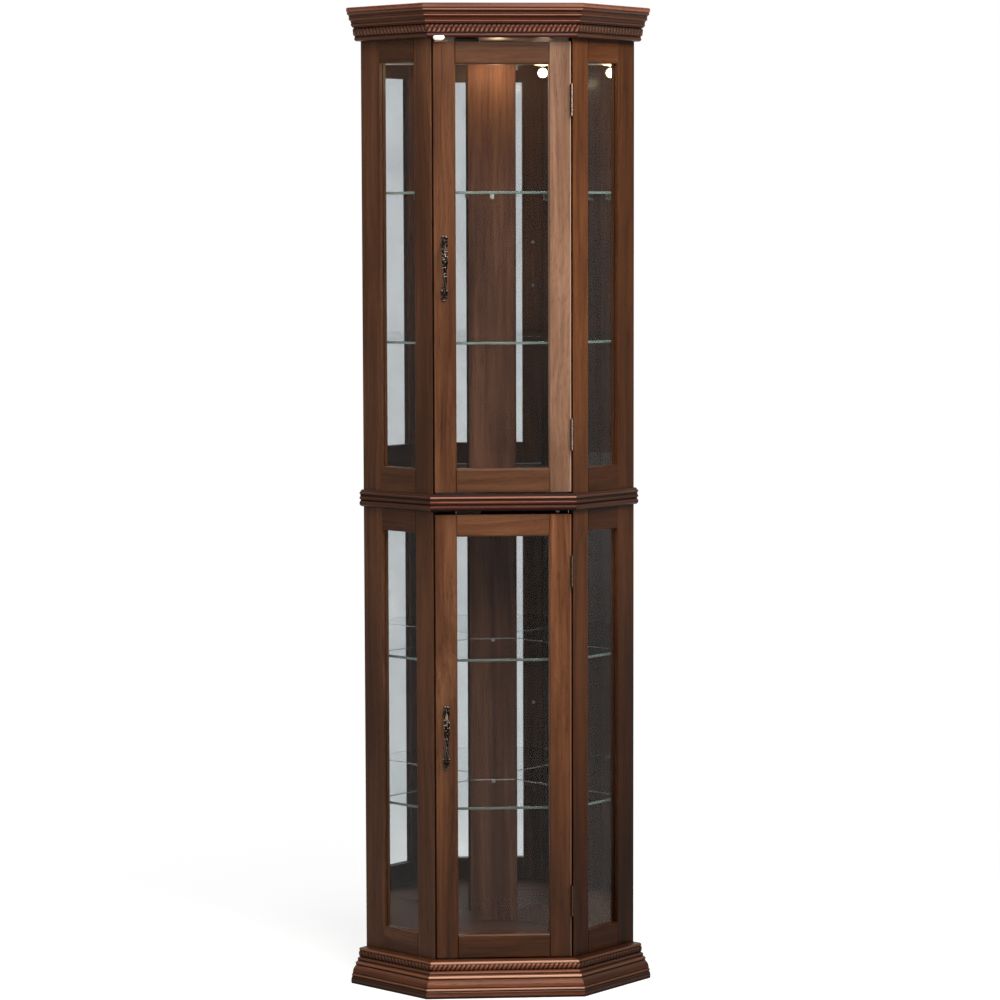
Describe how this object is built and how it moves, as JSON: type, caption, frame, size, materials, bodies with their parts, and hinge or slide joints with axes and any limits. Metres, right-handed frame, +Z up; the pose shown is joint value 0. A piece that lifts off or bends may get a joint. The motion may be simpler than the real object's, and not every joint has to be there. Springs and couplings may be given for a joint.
{
  "type": "corner display cabinet",
  "caption": "Tall lighted corner display cabinet with glazed doors and sides, glass shelves, mirrored back and rope-twist crown and base mouldings.",
  "frame": {"origin": "on the floor, under the centre of the bounding box", "axes": "+X to the right as seen from the front, +Y from the front to the room's corner, +Z up"},
  "size_m": [0.5588, 0.3768, 1.8],
  "materials": {
    "frame_wood": "satin stained walnut side frames",
    "door_wood": "satin stained walnut doors",
    "moulding_wood": "semi-gloss red-brown mouldings",
    "board_wood": "satin stained boards",
    "back_board": "matt brown backing board",
    "clear_glass": "clear polished",
    "mirror_glass": "silvered",
    "dark_bronze": "antique dark bronze",
    "hinge_brass": "aged brass",
    "lamp_metal": "satin grey with warm lenses",
    "white_plastic": "off-white"
  },
  "bodies": {
    "cabinet": {"top_board": "moulding_wood", "crown_front": "moulding_wood", "crown_left": "moulding_wood", "crown_right": "moulding_wood", "waist_front": "moulding_wood", "waist_left": "moulding_wood", "waist_right": "moulding_wood", "base_front": "moulding_wood", "base_left": "moulding_wood", "base_right": "moulding_wood", "top_panel": "board_wood", "middle_panel": "board_wood", "bottom_panel": "board_wood", "back_post": "board_wood", "left_front_stile": "frame_wood", "left_rear_stile": "frame_wood", "left_top_rail": "frame_wood", "left_middle_rail": "frame_wood", "left_bottom_rail": "frame_wood", "right_front_stile": "frame_wood", "right_rear_stile": "frame_wood", "right_top_rail": "frame_wood", "right_middle_rail": "frame_wood", "right_bottom_rail": "frame_wood", "left_upper_glass": "clear_glass", "left_lower_glass": "clear_glass", "right_upper_glass": "clear_glass", "right_lower_glass": "clear_glass", "left_back_panel": "back_board", "right_back_panel": "back_board", "left_mirror": "mirror_glass", "right_mirror": "mirror_glass", "upper_shelf_2": "clear_glass", "upper_shelf_1": "clear_glass", "lower_shelf_2": "clear_glass", "lower_shelf_1": "clear_glass", "lamp_bar": "lamp_metal", "touch_switch": "white_plastic", "upper_catch": "white_plastic", "lower_catch": "white_plastic", "upper_door_top_hinge_frame_leaf": "hinge_brass", "upper_door_bottom_hinge_frame_leaf": "hinge_brass", "lower_door_top_hinge_frame_leaf": "hinge_brass", "lower_door_bottom_hinge_frame_leaf": "hinge_brass"},
    "upper_door": {"upper_door_handle_stile": "door_wood", "upper_door_hinge_stile": "door_wood", "upper_door_top_rail": "door_wood", "upper_door_bottom_rail": "door_wood", "upper_door_glass": "clear_glass", "upper_door_handle": "dark_bronze", "upper_door_top_hinge_door_leaf": "hinge_brass", "upper_door_bottom_hinge_door_leaf": "hinge_brass"},
    "lower_door": {"lower_door_handle_stile": "door_wood", "lower_door_hinge_stile": "door_wood", "lower_door_top_rail": "door_wood", "lower_door_bottom_rail": "door_wood", "lower_door_glass": "clear_glass", "lower_door_handle": "dark_bronze", "lower_door_top_hinge_door_leaf": "hinge_brass", "lower_door_bottom_hinge_door_leaf": "hinge_brass"}
  },
  "joints": [
    {"name": "upper_door_hinge", "type": "hinge", "parent": "cabinet", "child": "upper_door", "pos_m": [0.1254, -0.15176, 1.32835], "axis": [0, 0, 1], "range_deg": [0, 160]},
    {"name": "lower_door_hinge", "type": "hinge", "parent": "cabinet", "child": "lower_door", "pos_m": [0.1254, -0.15176, 0.4746], "axis": [0, 0, 1], "range_deg": [0, 160]}
  ]
}
